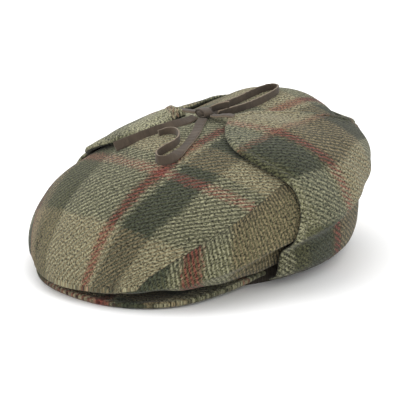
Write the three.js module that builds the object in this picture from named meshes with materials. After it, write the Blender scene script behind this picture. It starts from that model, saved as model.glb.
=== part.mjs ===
// A flat cap whose two padded ear flaps are folded up over the crown and tied on top with a flat lace.
// Millimetres, +Z up. The cap rests on z = 0, its peak points to -Y and the wearer's left is +X.
import * as THREE from "three";
import { mergeVertices } from "three/addons/utils/BufferGeometryUtils.js";

// ---- Driving dimensions ----
const HEAD_HALF_LENGTH = 101; // inside of the headband, front to back: about 583 mm round
const HEAD_HALF_WIDTH = 84;
const HEAD_CENTRE_Y = 17;
const BAND_WALL = 3;
const BAND_HEIGHT = 26;
const CROWN_CENTRE_Y = 26; // the crown's own axis, a little behind the head's
const CROWN_HEIGHT = 107;
const CLOTH = 2.5; // outer cloth with its backing
const PEAK_THICK = 4.5;
const PEAK_END = 66; // degrees each side of the front
const PEAK_RISE = 6.5; // how far the peak's ends stand off the surface
const FLAP_THICK = 5;
const FLAP_GAP = 1.2; // between a folded flap and the crown under it
const FLAP_HEM_Z = 4;
const FLAP_HEM_OUT = 3; // how far the hem hangs clear of the headband
const FLAP_FRONT = 62; // degrees from the front where the flap's hem begins
const FLAP_LIP = 0.4; // share of a flap's way up that hangs below the crown's widest line
const LACE_THICK = 1.6;
const LACE_WIDTH = 6;
const TOUCH_GAP = 0.3;
const SEAM_GAP = 0.002; // the same gap, as a share of the crown's way down
const BACK_GAP = 0.15; // half the gap at the back seam, degrees

// ---- Section tables: one row for each direction, in degrees from the front ----
// reach: from the crown's axis to its widest line; widest: that line's height; fullness: 2 is a plain ellipse
// above it, more is squarer; swell: extra height half way out; rim: height of the crown's lower edge
const CROWN_ROWS = [
  { turn: 0, reach: 170, widest: 10, fullness: 1.9, swell: 0, rim: 6 },
  { turn: 30, reach: 156, widest: 21, fullness: 1.7, swell: 0, rim: 7.5 },
  { turn: 60, reach: 128, widest: 39, fullness: 1.6, swell: 0, rim: 12 },
  { turn: 90, reach: 117, widest: 56, fullness: 1.8, swell: 0, rim: 12 },
  { turn: 120, reach: 108, widest: 71, fullness: 2.1, swell: 1, rim: 10 },
  { turn: 150, reach: 107, widest: 74, fullness: 2.4, swell: 9, rim: 10 },
  { turn: 180, reach: 112, widest: 76, fullness: 2.7, swell: 12, rim: 10 },
];
// how the cloth curls in below the widest line: up is the share of the height, and front and side
// are shares of the overhang, towards the peak and under the flaps
const TUCK_ROWS = [
  { up: 0, front: 0, side: 0 },
  { up: 0.2, front: 0.5, side: 0.4 },
  { up: 0.45, front: 0.8, side: 0.47 },
  { up: 0.7, front: 0.95, side: 0.5 },
  { up: 1, front: 1, side: 1 },
];
const TUCK_TURNS = { front: 30, side: 62 }; // the tuck changes from one to the other between these directions
// down: where the seam between the top and side panels runs, as a share of the way from the apex to the rim
const SEAM_ROWS = [
  { turn: 17, down: 0.66 },
  { turn: 23, down: 0.57 },
  { turn: 35, down: 0.486 },
  { turn: 46, down: 0.437 },
  { turn: 58, down: 0.396 },
  { turn: 70, down: 0.37 },
  { turn: 110, down: 0.38 },
  { turn: 180, down: 0.41 },
];
const WIDEST_DOWN = 0.62; // share of the way from the apex to the rim where the widest line lies
// reach: from the head's centre to the peak's lip
const PEAK_ROWS = [
  { turn: 0, reach: 155 },
  { turn: 15, reach: 153 },
  { turn: 30, reach: 141 },
  { turn: 45, reach: 116 },
  { turn: 60, reach: 97 },
  { turn: 66, reach: 93 },
];
// a flap's front edge, from hem to tip: its direction at each share of the way up
const FLAP_EDGE_ROWS = [
  { up: 0, left: 62, right: 62 },
  { up: 0.4, left: 65, right: 64 },
  { up: 0.58, left: 70, right: 67 },
  { up: 0.68, left: 69, right: 60 },
  { up: 0.78, left: 59, right: 35 },
  { up: 0.88, left: 46, right: 18 },
  { up: 0.95, left: 43, right: 14 },
  { up: 1, left: 47, right: 22 },
];
// a flap's top edge, from the tip to the seam at the back: direction, and height as a share of the way to the apex,
// for each side
const FLAP_TOP_ROWS = [
  { along: 0, left: 47, leftHigh: 0.925, right: 22, rightHigh: 0.925 },
  { along: 0.07, left: 73, leftHigh: 0.937, right: 50, rightHigh: 0.9 },
  { along: 0.15, left: 105, leftHigh: 0.919, right: 75, rightHigh: 0.86 },
  { along: 0.25, left: 120, leftHigh: 0.87, right: 95, rightHigh: 0.81 },
  { along: 0.36, left: 127, leftHigh: 0.8, right: 110, rightHigh: 0.755 },
  { along: 0.48, left: 132, leftHigh: 0.72, right: 122, rightHigh: 0.7 },
  { along: 0.6, left: 138, leftHigh: 0.63, right: 135, rightHigh: 0.63 },
  { along: 0.74, left: 150, leftHigh: 0.55, right: 150, rightHigh: 0.55 },
  { along: 0.88, left: 165, leftHigh: 0.5, right: 165, rightHigh: 0.5 },
  { along: 1, left: 180, leftHigh: 0.49, right: 180, rightHigh: 0.49 },
];

// ---- Lace routes: x, y, z of the strip's middle line, and lean, its width's turn from level in degrees ----
const KNOT = { x: 0, y: 4, z: 112, long: 15, wide: 11, high: 8 };
const LOOP_ROUTE = [
  [6.5, 11.2, 110.8, 50],
  [9, 22, 111.2, 70],
  [10.5, 38, 111.5, 85],
  [10.5, 54, 112.7, 90],
  [9.5, 70, 114.6, 90],
  [7, 81, 115.8, 90],
  [2, 87, 116.4, 90],
  [-3, 86, 116.4, 90],
  [-5.5, 78, 115.8, 90],
  [-6, 66, 114.6, 90],
  [-5.5, 50, 112.5, 90],
  [-5, 34, 111.3, 85],
  [-3.5, 20, 111.1, 70],
  [-1.5, 12.6, 110.9, 50],
];
const STUB_ROUTE = [
  [2.6, 9.4, 116.4, 10],
  [5, 12.4, 117.4, 15],
  [8, 16.2, 117.9, 20],
  [11, 20, 117.8, 20],
];
const LONG_TAIL_ROUTE = [
  [-4.6, -2.2, 109, 10],
  [-4.8, -8, 107.6, 20],
  [-6.5, -16, 106.7, 35],
  [-9.5, -25, 105.2, 50],
  [-13, -35, 103.4, 60],
  [-17.5, -45, 100.6, 65],
  [-22.5, -55, 97.4, 65],
  [-28, -64, 93.6, 65],
];
const HOOKED_TAIL_ROUTE = [
  [4.4, -2.6, 109, 0],
  [8, -10, 106.6, 0],
  [14, -20, 104.2, -5],
  [19.5, -32, 101.4, -6],
  [23.5, -44, 98.2, -6],
  [26, -54, 96, 30],
  [25, -62, 93.6, 75],
  [19.5, -66, 93, 90],
  [14.2, -62.5, 94.6, 90],
  [14.2, -55.5, 97.2, 90],
  [15.8, -48, 99.6, 90],
  [14.8, -40.5, 101.6, 90],
  [9.8, -34.5, 103.2, 90],
  [3, -31.5, 104.2, 90],
  [-3, -33.5, 103.6, 90],
  [-6, -39.5, 102.2, 90],
];
const TIE_LEFT_ROUTE = [
  [7.8, 4.4, 111.2, 0],
  [12, 5.4, 111.2, 0],
  [16, 6.6, 112.2, 0],
  [20.5, 8, 112.8, 0],
  [25, 9.4, 112.4, 0],
];
const TIE_RIGHT_ROUTE = [
  [-9, 3, 111.5, 0],
  [-12, 0, 112, 0],
  [-16, -3.4, 112.6, 0],
  [-20.5, -6.6, 112.2, 0],
];

// The worn crown sags on the wearer's right: depth, and the directions where the sag starts and ends.
const SAG = { depth: 8, from: 28, full: 60, fades: 110, to: 160 };

// ---- Mesh sizes ----
const TOP_RINGS = 11;
const FRONT_RINGS = 5;
const SIDE_RINGS = 6;
const FLAP_COLUMNS = 22;
const FLAP_ROWS = 14;
const BAND_STEPS = 64;
const PEAK_STEPS = 32;

const TWEED = new THREE.MeshStandardMaterial({ color: 0x6b6a55, roughness: 0.95, metalness: 0 });
const LINING = new THREE.MeshStandardMaterial({ color: 0x2b2620, roughness: 0.85, metalness: 0 });
const SUEDE = new THREE.MeshStandardMaterial({ color: 0x54473a, roughness: 0.8, metalness: 0 });

const radians = THREE.MathUtils.degToRad;

// A smooth curve through a table's rows: Hermite pieces, level at both ends.
function along(rows, key, value, at) {
  const x = THREE.MathUtils.clamp(at, rows[0][key], rows.at(-1)[key]);
  const slope = (i) =>
    i === 0 || i === rows.length - 1
      ? 0
      : (rows[i + 1][value] - rows[i - 1][value]) / (rows[i + 1][key] - rows[i - 1][key]);
  const last = rows.length - 2;
  const i = Math.min(last, rows.filter((row) => row[key] <= x).length - 1);
  const span = rows[i + 1][key] - rows[i][key];
  const t = (x - rows[i][key]) / span;
  const t2 = t * t;
  const t3 = t2 * t;
  return (
    (2 * t3 - 3 * t2 + 1) * rows[i][value] +
    (t3 - 2 * t2 + t) * span * slope(i) +
    (3 * t2 - 2 * t3) * rows[i + 1][value] +
    (t3 - t2) * span * slope(i + 1)
  );
}

// Distance from the crown's axis to an ellipse round the head's centre, in direction turn (degrees from the front).
function headReach(turn, halfLength, halfWidth) {
  const s = Math.sin(radians(turn));
  const c = Math.cos(radians(turn));
  const back = HEAD_CENTRE_Y - CROWN_CENTRE_Y;
  const a = (s / halfWidth) ** 2 + (c / halfLength) ** 2;
  const b = (2 * c * back) / halfLength ** 2;
  return (-b + Math.sqrt(b * b - 4 * a * ((back / halfLength) ** 2 - 1))) / (2 * a);
}

// The point at a direction, a distance from the crown's axis and a height.
function fromAxis(turn, reach, z) {
  return [reach * Math.sin(radians(turn)), CROWN_CENTRE_Y - reach * Math.cos(radians(turn)), z];
}

function sag(f) {
  const { smoothstep } = THREE.MathUtils;
  return SAG.depth * smoothstep(f, SAG.from, SAG.full) * (1 - smoothstep(f, SAG.fades, SAG.to));
}

// The dome above the widest line: up is 1 at that line and 0 at the apex.
function dome(turn, up, offset) {
  const f = Math.abs(turn);
  const quarter = (up * Math.PI) / 2;
  const widest = along(CROWN_ROWS, "turn", "widest", f);
  const fullness = along(CROWN_ROWS, "turn", "fullness", f);
  const rise = Math.max(0, Math.cos(quarter)) ** (2 / fullness);
  const out = Math.sin(quarter);
  const halfWay = 4 * out ** 2 * (1 - out ** 2);
  const swell = along(CROWN_ROWS, "turn", "swell", f) - (turn < 0 ? sag(f) : 0);
  return {
    reach: (along(CROWN_ROWS, "turn", "reach", f) + offset) * out,
    z: widest + (CROWN_HEIGHT + offset - widest) * rise + swell * halfWay,
  };
}

// The crown's outside (inset 0) or inside (inset CLOTH); down runs from 0 at the apex to 1 at the rim.
function crownPoint(turn, down, inset) {
  const f = Math.abs(turn);
  if (down <= WIDEST_DOWN) {
    const { reach, z } = dome(turn, down / WIDEST_DOWN, -inset);
    return fromAxis(turn, reach, z);
  }
  const height = (1 - down) / (1 - WIDEST_DOWN);
  const rim = along(CROWN_ROWS, "turn", "rim", f);
  const widest = along(CROWN_ROWS, "turn", "widest", f);
  const tied = headReach(turn, HEAD_HALF_LENGTH + BAND_WALL + TOUCH_GAP, HEAD_HALF_WIDTH + BAND_WALL + TOUCH_GAP);
  const overhang = along(CROWN_ROWS, "turn", "reach", f) - tied;
  const beside = THREE.MathUtils.smoothstep(f, TUCK_TURNS.front, TUCK_TURNS.side);
  const tuck = THREE.MathUtils.lerp(
    along(TUCK_ROWS, "up", "front", height),
    along(TUCK_ROWS, "up", "side", height),
    beside,
  );
  const reach = Math.max(tied, tied + overhang * tuck - inset);
  return fromAxis(turn, reach, rim + (widest - rim) * height + inset * (1 - height ** 4));
}

// A flap's point: share 0 at its front edge and 1 at the back seam, up 0 at the hem and 1 at the top edge.
function flapPoint(side, share, up, offset) {
  const backEnd = 180 - BACK_GAP;
  const hemTurn = FLAP_FRONT + (backEnd - FLAP_FRONT) * share;
  const topTurn = Math.min(backEnd, along(FLAP_TOP_ROWS, "along", side, share));
  const tipTurn = FLAP_TOP_ROWS[0][side];
  const lean = up ** 3;
  const edgeBend = along(FLAP_EDGE_ROWS, "up", side, up) - FLAP_FRONT - (tipTurn - FLAP_FRONT) * lean;
  const turn = hemTurn + (topTurn - hemTurn) * lean + (1 - share) ** 3 * edgeBend;
  const height = along(FLAP_TOP_ROWS, "along", side + "High", share) * up;
  const sign = side === "left" ? 1 : -1;
  if (height >= FLAP_LIP) {
    const { reach, z } = dome(sign * turn, (1 - height) / (1 - FLAP_LIP), offset);
    return fromAxis(sign * turn, reach, z);
  }
  const h = height / FLAP_LIP;
  const hem = headReach(turn, HEAD_HALF_LENGTH + BAND_WALL, HEAD_HALF_WIDTH + BAND_WALL) + FLAP_HEM_OUT;
  const overhang = along(CROWN_ROWS, "turn", "reach", turn) - hem;
  const widest = along(CROWN_ROWS, "turn", "widest", turn);
  const reach = hem + overhang * along(TUCK_ROWS, "up", "side", h) + offset;
  return fromAxis(sign * turn, reach, FLAP_HEM_Z + (widest - FLAP_HEM_Z) * h);
}

// A closed mesh from corner triples: shared corners are merged and the faces are turned outwards.
function closedMesh(name, triangles, material) {
  const distinct = triangles.filter(([a, b, c]) => !same(a, b) && !same(b, c) && !same(c, a));
  const volume = distinct.reduce((sum, [a, b, c]) => sum + signedVolume(a, b, c), 0);
  const outward = volume < 0 ? distinct.map(([a, b, c]) => [a, c, b]) : distinct;
  const geometry = new THREE.BufferGeometry();
  geometry.setAttribute("position", new THREE.Float32BufferAttribute(outward.flat(2), 3));
  const mesh = new THREE.Mesh(mergeVertices(geometry, 1e-3), material);
  mesh.geometry.computeVertexNormals();
  mesh.name = name;
  return mesh;
}

function same(a, b) {
  return Math.hypot(a[0] - b[0], a[1] - b[1], a[2] - b[2]) < 2e-3;
}

function signedVolume(a, b, c) {
  return new THREE.Vector3(...a).dot(new THREE.Vector3(...b).cross(new THREE.Vector3(...c))) / 6;
}

// The two triangles of each cell between neighbouring rows of points.
function quads(rows) {
  return rows.slice(1).flatMap((row, i) =>
    row.slice(1).flatMap((corner, j) => [
      [rows[i][j], rows[i][j + 1], corner],
      [rows[i][j], corner, row[j]],
    ]),
  );
}

// A wall between two matching grids of points, closed round its four edges.
function wall(name, outside, inside, material) {
  const rim = (grid) => [
    ...grid[0],
    ...grid.slice(1, -1).map((row) => row.at(-1)),
    ...[...grid.at(-1)].reverse(),
    ...grid.slice(1, -1).map((row) => row[0]).reverse(),
    grid[0][0],
  ];
  const back = quads(inside).map(([a, b, c]) => [a, c, b]);
  const edge = quads([rim(outside), rim(inside)]).map(([a, b, c]) => [a, c, b]);
  return closedMesh(name, [...quads(outside), ...back, ...edge], material);
}

// n + 1 even steps from a to b.
function steps(a, b, n) {
  return Array.from({ length: n + 1 }, (_, i) => a + ((b - a) * i) / n);
}

// ---- Crown: one top panel and two side panels ----
const SIDE_START = 17;
const SIDE_TURNS = [...steps(SIDE_START, 40, 5), ...steps(40, 180, 22).slice(1)];

function seamDown(turn) {
  return along(SEAM_ROWS, "turn", "down", Math.abs(turn));
}

// The top panel has its apex as one point. Its last rings cover only the front, where it reaches down to the rim.
function topPanel() {
  const half = [...steps(0, SIDE_START - 2, 3), ...SIDE_TURNS];
  const turns = [...half.slice(1).reverse().map((turn) => -turn), ...half];
  const downTo = (turn) => (Math.abs(turn) < SIDE_START ? 1 : seamDown(turn));
  const down = (turn, ring) =>
    ring <= 1 ? ring * seamDown(turn) : THREE.MathUtils.lerp(seamDown(turn), downTo(turn), ring - 1);
  const rings = [...steps(0, 1, TOP_RINGS), ...steps(1, 2, FRONT_RINGS).slice(1)];
  const grid = (inset) => rings.map((ring) => turns.map((turn) => crownPoint(turn, down(turn, ring), inset)));
  const outside = grid(0);
  const inside = grid(CLOTH);
  const back = quads(inside).map(([a, b, c]) => [a, c, b]);
  const edge = quads([outside.at(-1), inside.at(-1)]);
  return closedMesh("top_panel", [...quads(outside), ...back, ...edge], TWEED);
}

function sidePanel(side) {
  const sign = side === "left" ? 1 : -1;
  const turns = SIDE_TURNS.map((turn) =>
    THREE.MathUtils.clamp(turn, SIDE_START + BACK_GAP, 180 - BACK_GAP),
  );
  const grid = (inset) =>
    steps(0, 1, SIDE_RINGS).map((ring) =>
      turns.map((turn) => {
        const top = seamDown(turn) + SEAM_GAP;
        return crownPoint(sign * turn, top + (1 - top) * ring, inset);
      }),
    );
  return wall("side_panel_" + side, grid(0), grid(CLOTH), TWEED);
}

// ---- Headband: an upright ring with a flat lower rim ----
function headband() {
  const section = [
    [0, 0],
    [BAND_WALL, 0],
    [BAND_WALL, BAND_HEIGHT],
    [0, BAND_HEIGHT],
    [0, 0],
  ];
  const rows = steps(0, 360, BAND_STEPS).map((turn) =>
    section.map(([out, z]) => [
      (HEAD_HALF_WIDTH + out) * Math.sin(radians(turn)),
      HEAD_CENTRE_Y - (HEAD_HALF_LENGTH + out) * Math.cos(radians(turn)),
      z,
    ]),
  );
  return closedMesh("headband", quads(rows), LINING);
}

// ---- Peak: a stiff crescent that butts against the headband ----
function peak() {
  const turns = steps(-PEAK_END, PEAK_END, PEAK_STEPS);
  const rise = (turn) => PEAK_RISE * (turn / PEAK_END) ** 2;
  const grid = (height) =>
    steps(0, 1, 3).map((out) =>
      turns.map((turn) => {
        const s = Math.sin(radians(turn));
        const c = Math.cos(radians(turn));
        const inner =
          1 / Math.hypot(s / (HEAD_HALF_WIDTH + BAND_WALL), c / (HEAD_HALF_LENGTH + BAND_WALL)) + TOUCH_GAP;
        const reach = inner + (along(PEAK_ROWS, "turn", "reach", Math.abs(turn)) - inner) * out;
        return [reach * s, HEAD_CENTRE_Y - reach * c, height + rise(turn)];
      }),
    );
  return wall("peak", grid(PEAK_THICK), grid(0), TWEED);
}

// ---- Ear flaps: padded cloth folded up from the headband ----
function earFlap(side) {
  const shares = steps(0, 1, FLAP_COLUMNS).map((share) => share ** 1.4);
  const grid = (offset) =>
    steps(0, 1, FLAP_ROWS).map((up) => shares.map((share) => flapPoint(side, share, up, offset)));
  return wall("ear_flap_" + side, grid(FLAP_GAP + FLAP_THICK), grid(FLAP_GAP), TWEED);
}

// ---- Laces: flat strips carried along their routes ----
function strip(name, route, count) {
  const curve = new THREE.CatmullRomCurve3(route.map(([x, y, z]) => new THREE.Vector3(x, y, z)));
  const up = new THREE.Vector3(0, 0, 1);
  const rings = steps(0, 1, count).map((t) => {
    const middle = curve.getPoint(t);
    const tangent = curve.getTangent(t);
    const place = t * (route.length - 1);
    const i = Math.min(route.length - 2, Math.floor(place));
    const lean = radians(THREE.MathUtils.lerp(route[i][3], route[i + 1][3], place - i));
    const level = new THREE.Vector3().crossVectors(tangent, up).normalize();
    const across = level.applyAxisAngle(tangent, lean);
    const through = new THREE.Vector3().crossVectors(tangent, across).normalize();
    const corner = (w, d) =>
      middle
        .clone()
        .addScaledVector(across, (w * LACE_WIDTH) / 2)
        .addScaledVector(through, (d * LACE_THICK) / 2)
        .toArray();
    return [corner(-1, -1), corner(1, -1), corner(1, 1), corner(-1, 1), corner(-1, -1)];
  });
  const cap = ([a, b, c, d]) => [
    [a, b, c],
    [a, c, d],
  ];
  const near = cap(rings[0]).map(([a, b, c]) => [a, c, b]);
  return closedMesh(name, [...near, ...quads(rings), ...cap(rings.at(-1))], SUEDE);
}

function knot() {
  const geometry = new THREE.SphereGeometry(0.5, 16, 10);
  geometry.scale(KNOT.long, KNOT.wide, KNOT.high);
  geometry.deleteAttribute("normal");
  geometry.deleteAttribute("uv");
  const mesh = new THREE.Mesh(mergeVertices(geometry, 1e-3), SUEDE);
  mesh.geometry.computeVertexNormals();
  mesh.position.set(KNOT.x, KNOT.y, KNOT.z);
  mesh.name = "lace_knot";
  return mesh;
}

const cap = new THREE.Group();
cap.add(
  headband(),
  topPanel(),
  sidePanel("left"),
  sidePanel("right"),
  peak(),
  earFlap("left"),
  earFlap("right"),
  knot(),
  strip("lace_loop", LOOP_ROUTE, 40),
  strip("lace_stub", STUB_ROUTE, 6),
  strip("lace_long_tail", LONG_TAIL_ROUTE, 20),
  strip("lace_hooked_tail", HOOKED_TAIL_ROUTE, 44),
  strip("lace_tie_left", TIE_LEFT_ROUTE, 6),
  strip("lace_tie_right", TIE_RIGHT_ROUTE, 6),
);

export default cap;
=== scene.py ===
"""The looks of a plaid tweed flat cap whose padded ear flaps are folded up and tied over the crown.

Shapes are worked out in millimetres and put into meshes in metres. +Z is up, the peak points to -Y
and the wearer's left is +X. Every cloth piece is a closed shell on a grid of two shares.
"""

import math

import bmesh
import bpy
import numpy as np
from mathutils import Matrix, Vector


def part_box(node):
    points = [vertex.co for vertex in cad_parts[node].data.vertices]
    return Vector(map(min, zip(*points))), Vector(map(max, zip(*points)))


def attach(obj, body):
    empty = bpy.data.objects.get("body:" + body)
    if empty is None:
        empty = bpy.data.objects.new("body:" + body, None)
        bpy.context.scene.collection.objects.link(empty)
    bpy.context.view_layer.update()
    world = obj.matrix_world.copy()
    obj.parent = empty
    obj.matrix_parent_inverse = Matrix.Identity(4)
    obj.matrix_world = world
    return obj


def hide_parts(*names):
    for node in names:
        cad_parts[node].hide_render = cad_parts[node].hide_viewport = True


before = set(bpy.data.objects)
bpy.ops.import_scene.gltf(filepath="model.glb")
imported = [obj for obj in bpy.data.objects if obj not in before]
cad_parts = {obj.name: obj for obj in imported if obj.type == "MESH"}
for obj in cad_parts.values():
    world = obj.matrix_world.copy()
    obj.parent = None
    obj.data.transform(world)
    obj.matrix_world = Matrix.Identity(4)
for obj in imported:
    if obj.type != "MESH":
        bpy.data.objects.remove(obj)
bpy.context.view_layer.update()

MM = 0.001

# ---- Driving dimensions, in millimetres and in degrees round from the front ----
band_low, band_high = (np.array(corner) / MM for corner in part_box("headband"))
BAND_WALL = 3
BAND_HEIGHT = band_high[2]
HEAD_HALF_WIDTH = band_high[0] - BAND_WALL
HEAD_HALF_LENGTH = (band_high[1] - band_low[1]) / 2 - BAND_WALL
HEAD_CENTRE_Y = (band_high[1] + band_low[1]) / 2
CROWN_CENTRE_Y = 26  # where the crown's upright axis stands
CROWN_HEIGHT = 107
CLOTH = 2.5  # the crown's cloth with its lining
WIDEST_DOWN = 0.62  # share of the way down the crown's cloth at which it is widest
TUCK_TURNS = (30, 62)  # the tuck turns from the peak's column to the flaps' between these directions
SAG_DEPTH, SAG_STARTS, SAG_ENDS = 8, (28, 60), (110, 160)
SEAM_FOOT = (12, 17)  # the crown's seam climbs from the rim between these directions
BACK_SEAM = 179.85  # direction where both halves of the back meet
TOUCH_GAP = 0.3  # between pieces that meet
PEAK_THICK = 4.5
PEAK_END = 66  # direction of the peak's ends
PEAK_RISE = 6.5  # how much higher the ends lie than the middle
FLAP_THICK = 5
FLAP_GAP = 1.2  # between a flap and the crown
FLAP_HEM_Z = 4
FLAP_HEM_OUT = 3  # how far a flap's hem stands out from the headband
FLAP_FRONT = 62  # direction of a flap's front edge at the hem
FLAP_LIP = 0.4  # share of the height up to the apex that is below the widest line
LACE_THICK = 1.8
LACE_WIDTH = 7.2
LACE_SETTLES = 1.2  # how far the laces lie down onto the cloth, which is lower than its solid

# ---- Section tables: the first column is a direction in degrees from the front, or a share ----
# turn, reach of the widest line, its height, fullness, swell, rim
CROWN_ROWS = [
    (0, 170, 10, 1.9, 0, 6),
    (30, 156, 21, 1.7, 0, 7.5),
    (60, 128, 39, 1.6, 0, 12),
    (90, 117, 56, 1.8, 0, 12),
    (120, 108, 71, 2.1, 1, 10),
    (150, 107, 74, 2.4, 9, 10),
    (180, 112, 76, 2.7, 12, 10),
]
REACH, WIDEST, FULLNESS, SWELL, RIM = 1, 2, 3, 4, 5
# share of the height, overhang left towards the peak, overhang left under the flaps
TUCK_ROWS = [(0, 0, 0), (0.2, 0.5, 0.4), (0.45, 0.8, 0.47), (0.7, 0.95, 0.5), (1, 1, 1)]
# turn, how far down the crown's seam runs
SEAM_ROWS = [
    (17, 0.66),
    (23, 0.57),
    (35, 0.486),
    (46, 0.437),
    (58, 0.396),
    (70, 0.37),
    (110, 0.38),
    (180, 0.41),
]
# turn, reach of the peak's lip from the head's centre
PEAK_ROWS = [(0, 155), (15, 153), (30, 141), (45, 116), (60, 97), (66, 93)]
# share of the way up, direction of the flap's front edge: left, right
FLAP_EDGE_ROWS = [
    (0, 62, 62),
    (0.4, 65, 64),
    (0.58, 70, 67),
    (0.68, 69, 60),
    (0.78, 59, 35),
    (0.88, 46, 18),
    (0.95, 43, 14),
    (1, 47, 22),
]
# share along the flap's top edge, then its direction and its height towards the apex: left, right
FLAP_TOP_ROWS = [
    (0, 47, 0.925, 22, 0.925),
    (0.07, 73, 0.937, 50, 0.9),
    (0.15, 105, 0.919, 75, 0.86),
    (0.25, 120, 0.87, 95, 0.81),
    (0.36, 127, 0.8, 110, 0.755),
    (0.48, 132, 0.72, 122, 0.7),
    (0.6, 138, 0.63, 135, 0.63),
    (0.74, 150, 0.55, 150, 0.55),
    (0.88, 165, 0.5, 165, 0.5),
    (1, 180, 0.49, 180, 0.49),
]
EDGE_COLUMN = {"left": 1, "right": 2}
TOP_COLUMNS = {"left": (1, 2), "right": (3, 4)}
SIDE_SIGN = {"left": 1, "right": -1}

# ---- Lace routes: x, y, z and the lean of the strip's width from level, in degrees ----
KNOT_CENTRE = (0, 4, 112)
LOOP_ROUTE = [
    (6.5, 11.2, 110.8, 50),
    (9, 22, 111.2, 70),
    (10.5, 38, 111.5, 85),
    (10.5, 54, 112.7, 90),
    (9.5, 70, 114.6, 90),
    (7, 81, 115.8, 90),
    (2, 87, 116.4, 90),
    (-3, 86, 116.4, 90),
    (-5.5, 78, 115.8, 90),
    (-6, 66, 114.6, 90),
    (-5.5, 50, 112.5, 90),
    (-5, 34, 111.3, 85),
    (-3.5, 20, 111.1, 70),
    (-1.5, 12.6, 110.9, 50),
]
STUB_ROUTE = [
    (2.6, 9.4, 114.4, 50),
    (5, 12.4, 115.8, 55),
    (8, 16.2, 116.7, 60),
    (11, 20, 117.2, 60),
]
LONG_TAIL_ROUTE = [
    (-4.6, -2.2, 109, 10),
    (-4.8, -8, 107.6, 20),
    (-6.5, -16, 106.7, 35),
    (-9.5, -25, 105.2, 50),
    (-13, -35, 103.4, 60),
    (-17.5, -45, 100.6, 65),
    (-22.5, -55, 97.4, 65),
    (-28, -64, 93.6, 65),
]
HOOKED_TAIL_ROUTE = [
    (4.4, -2.6, 109, 0),
    (8, -10, 106.6, 0),
    (14, -20, 104.2, -5),
    (19.5, -32, 101.4, -6),
    (23.5, -44, 98.2, -6),
    (26, -54, 96, 30),
    (25, -62, 93.6, 75),
    (19.5, -66, 93, 90),
    (14.2, -62.5, 94.6, 90),
    (14.2, -55.5, 97.2, 90),
    (15.8, -48, 99.6, 90),
    (14.8, -40.5, 101.6, 90),
    (9.8, -34.5, 103.2, 90),
    (3, -31.5, 104.2, 90),
    (-3, -33.5, 103.6, 90),
    (-6, -39.5, 102.2, 90),
]
TIE_LEFT_ROUTE = [
    (7.8, 4.4, 111.2, 0),
    (12, 5.4, 111.2, 0),
    (16, 6.6, 112.2, 0),
    (20.5, 8, 112.8, 0),
    (25, 9.4, 112.4, 0),
]
TIE_RIGHT_ROUTE = [
    (-9, 3, 111.5, 0),
    (-12, 0, 112, 0),
    (-16, -3.4, 112.6, 0),
    (-20.5, -6.6, 112.2, 0),
]

# ---- Grid sizes ----
CROWN_TURNS = 361
CROWN_RINGS = 100
SIDE_TURNS = 220
SIDE_RINGS = 80
FLAP_SHARES = 230
FLAP_RISES = 190
PEAK_TURNS = 200
PEAK_STEPS = 60
BAND_TURNS = 240
BAND_SECTION = 73
LACE_SECTION = 28
KNOT_TURNS = 73
KNOT_SECTION = 25
CORE_TURNS = 49
LAY_STEPS = 48
ARC_STEPS = 200


# ---- Curves and grids ----
def through(rows, column, at, free_ends=False):
    """A smooth curve through a table: cubic Hermite pieces whose slope at a row is the slope between
    its neighbours. The ends are level, or with free_ends they follow their own piece."""
    table = np.array(rows, float)
    key, value = table[:, 0], table[:, column]
    slope = np.zeros_like(value)
    slope[1:-1] = (value[2:] - value[:-2]) / (key[2:] - key[:-2])
    if free_ends:
        slope[0] = (value[1] - value[0]) / (key[1] - key[0])
        slope[-1] = (value[-1] - value[-2]) / (key[-1] - key[-2])
    x = np.clip(at, key[0], key[-1])
    i = np.clip(np.searchsorted(key, x, side="right") - 1, 0, len(key) - 2)
    span = key[i + 1] - key[i]
    t = (x - key[i]) / span
    start = (2 * t**3 - 3 * t**2 + 1) * value[i] + (t**3 - 2 * t**2 + t) * span * slope[i]
    end = (3 * t**2 - 2 * t**3) * value[i + 1] + (t**3 - t**2) * span * slope[i + 1]
    return start + end


def smoothstep(x, low, high):
    """0 below low, 1 above high, and 3t^2 - 2t^3 between them."""
    t = np.clip((x - low) / (high - low), 0, 1)
    return t * t * (3 - 2 * t)


def to_both_edges(count):
    """Shares from 0 to 1 that lie closer together near both ends, as the cosine of even steps."""
    return (1 - np.cos(np.linspace(0, math.pi, count))) / 2


def to_far_edge(count):
    """Shares from 0 to 1 that lie closer together near 1, as the sine of even steps."""
    return np.sin(np.linspace(0, math.pi / 2, count))


def run_length(points, axis):
    """Distance run along one way of a grid, from its first line: the sum of the steps' lengths."""
    step = np.linalg.norm(np.diff(points, axis=axis), axis=-1)
    start = np.zeros_like(np.take(step, [0], axis=axis))
    return np.concatenate([start, np.cumsum(step, axis=axis)], axis=axis)


def edge_distance(points, rows=(True, True), columns=(True, True)):
    """Distance to the nearest of a grid's chosen edges, run along the grid's own lines."""
    down, across = run_length(points, 0), run_length(points, 1)
    choices = [
        (rows[0], down),
        (rows[1], down[-1:] - down),
        (columns[0], across),
        (columns[1], across[:, -1:] - across),
    ]
    return np.min([distance for chosen, distance in choices if chosen], axis=0)


def rolled(distance, radius):
    """Share of the full thickness near an edge: a quarter circle of that radius, then 1."""
    return np.sqrt(1 - (1 - np.clip(distance / radius, 0, 1)) ** 2)


def bell(distance, place, half_width):
    """A soft channel or ridge along a line: a bell curve that is 1 at its place."""
    return np.exp(-(((distance - place) / half_width) ** 2))


def squared_off(wave, power):
    """A cosine or sine raised to a low power with its sign kept: the section of a superellipse."""
    return np.sign(wave) * np.abs(wave) ** power


WAVE_COUNT = 9


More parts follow.
